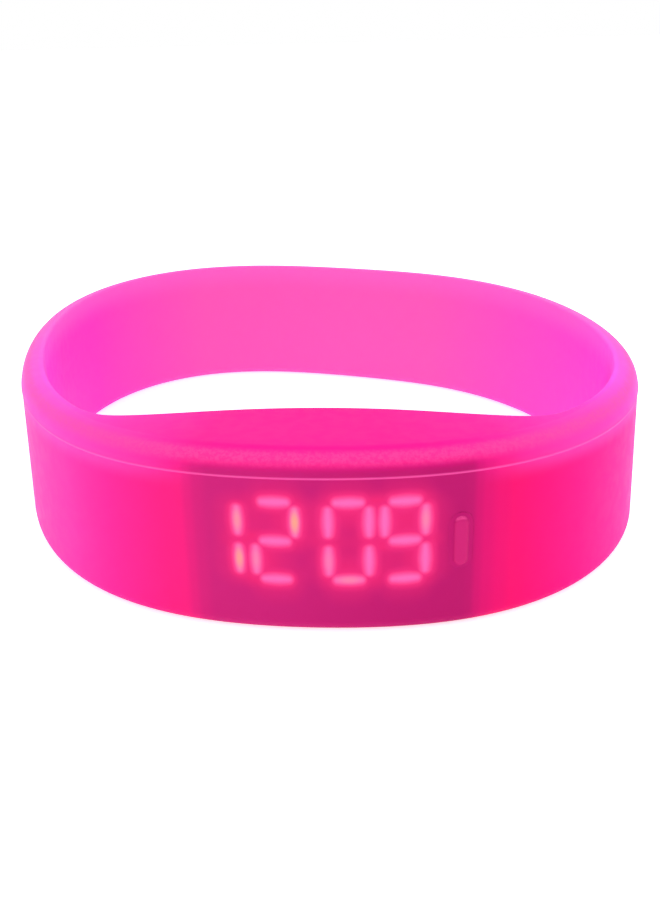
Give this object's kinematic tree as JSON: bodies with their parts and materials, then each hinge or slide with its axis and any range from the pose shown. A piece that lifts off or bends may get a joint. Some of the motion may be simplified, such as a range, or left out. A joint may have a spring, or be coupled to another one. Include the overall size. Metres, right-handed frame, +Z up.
{
  "type": "led bracelet watch",
  "caption": "Closed-loop translucent silicone bracelet watch with a clock module in a thickened front, seven-segment light guides and a sprung button pad.",
  "frame": {"origin": "on the resting surface, under the middle of the loop's box", "axes": "+Z up along the loop's axis; the display and button face -Y; +X to the viewer's right"},
  "size_m": [0.0686, 0.07, 0.0166],
  "materials": {
    "band_silicone": "translucent satin",
    "pad_silicone": "translucent satin",
    "key_plastic": "moulded",
    "switch_metal": "stamped",
    "switch_plastic": "moulded",
    "shell_plastic": "moulded",
    "cover_plastic": "fine spark texture",
    "gasket_rubber": "matte",
    "reflector_plastic": "moulded",
    "board_laminate": "solder mask",
    "chip_resin": "moulded",
    "can_metal": "drawn",
    "ceramic": "sintered",
    "cell_steel": "plated",
    "insulating_film": "film",
    "spring_brass": "stamped",
    "screw_steel": "plated",
    "guide_lit": "lit from behind",
    "guide_unlit": "cast, unlit"
  },
  "bodies": {
    "watch": {"band": "band_silicone", "switch_base": "switch_metal", "core_front_shell": "shell_plastic", "core_back_cover": "cover_plastic", "case_gasket": "gasket_rubber", "digit_reflector": "reflector_plastic", "circuit_board": "board_laminate", "driver_chip": "chip_resin", "crystal_can": "can_metal", "chip_resistor_1": "chip_resin", "chip_resistor_2": "chip_resin", "chip_resistor_3": "chip_resin", "chip_capacitor_1": "ceramic", "chip_capacitor_2": "ceramic", "coin_cell": "cell_steel", "battery_insulator": "insulating_film", "battery_contact": "spring_brass", "battery_clip": "spring_brass", "case_screw_1": "screw_steel", "case_screw_2": "screw_steel", "case_screw_3": "screw_steel", "case_screw_4": "screw_steel", "segment_hour_tens_b": "guide_lit", "segment_hour_tens_c": "guide_lit", "segment_hour_units_a": "guide_lit", "segment_hour_units_b": "guide_lit", "segment_hour_units_c": "guide_unlit", "segment_hour_units_d": "guide_lit", "segment_hour_units_e": "guide_lit", "segment_hour_units_f": "guide_unlit", "segment_hour_units_g": "guide_lit", "segment_minute_tens_a": "guide_lit", "segment_minute_tens_b": "guide_lit", "segment_minute_tens_c": "guide_lit", "segment_minute_tens_d": "guide_lit", "segment_minute_tens_e": "guide_lit", "segment_minute_tens_f": "guide_lit", "segment_minute_tens_g": "guide_unlit", "segment_minute_units_a": "guide_lit", "segment_minute_units_b": "guide_lit", "segment_minute_units_c": "guide_lit", "segment_minute_units_d": "guide_lit", "segment_minute_units_e": "guide_unlit", "segment_minute_units_f": "guide_lit", "segment_minute_units_g": "guide_lit", "colon_dot_upper": "guide_unlit", "colon_dot_lower": "guide_unlit"},
    "button": {"button_pad": "pad_silicone", "button_key": "key_plastic", "switch_plunger": "switch_plastic"}
  },
  "joints": [
    {"name": "button_press", "type": "slide", "parent": "watch", "child": "button", "axis": [0, 1, 0], "range_m": [0, 0.0004], "stiffness_N_per_m": 4000}
  ]
}
